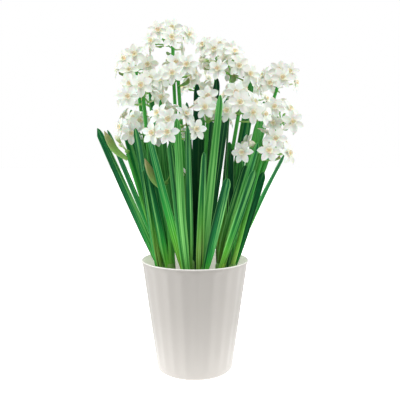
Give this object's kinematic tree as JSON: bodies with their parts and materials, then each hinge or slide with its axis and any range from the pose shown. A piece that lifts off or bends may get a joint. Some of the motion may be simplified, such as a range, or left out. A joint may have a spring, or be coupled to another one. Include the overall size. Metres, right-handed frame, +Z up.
{
  "type": "potted paperwhite narcissus",
  "caption": "Flowering bulb plant in a tapered pot with soft facets: upright strap leaves round slim stems, each topped by a cluster of small white six-petalled flowers with short cups.",
  "frame": {"origin": "centre of the pot's flat bottom, on the surface that it stands on", "axes": "+Z up along the pot's axis, -Y towards the front, +X to the right as seen from the front"},
  "size_m": [0.284, 0.2428, 0.4914],
  "materials": {
    "pot": "satin",
    "potting_mix": "matte",
    "bulb": "satin",
    "leaf": "satin",
    "petal": "matte"
  },
  "bodies": {
    "root": {"pot": "pot", "potting_mix": "potting_mix", "bulb_1": "bulb", "bulb_2": "bulb", "bulb_3": "bulb", "bulb_4": "bulb", "bulb_5": "bulb", "bulb_6": "bulb", "bulb_7": "bulb", "shoot_01": "leaf", "shoot_02": "leaf", "shoot_03": "leaf", "shoot_04": "leaf", "shoot_05": "leaf", "shoot_06": "leaf", "shoot_07": "leaf", "shoot_08": "leaf", "shoot_09": "leaf", "shoot_10": "leaf", "shoot_11": "leaf", "shoot_12": "leaf", "shoot_13": "leaf", "shoot_14": "leaf", "shoot_15": "leaf", "shoot_16": "leaf", "shoot_17": "leaf", "shoot_18": "leaf", "umbel_01": "petal", "umbel_02": "petal", "umbel_03": "petal", "umbel_04": "petal", "umbel_05": "petal", "umbel_06": "petal", "umbel_07": "petal", "umbel_08": "petal", "umbel_09": "petal", "umbel_10": "petal", "umbel_11": "petal", "umbel_12": "petal", "umbel_13": "petal", "umbel_14": "petal", "umbel_15": "petal", "umbel_16": "petal", "umbel_17": "petal", "umbel_18": "petal"}
  },
  "joints": []
}
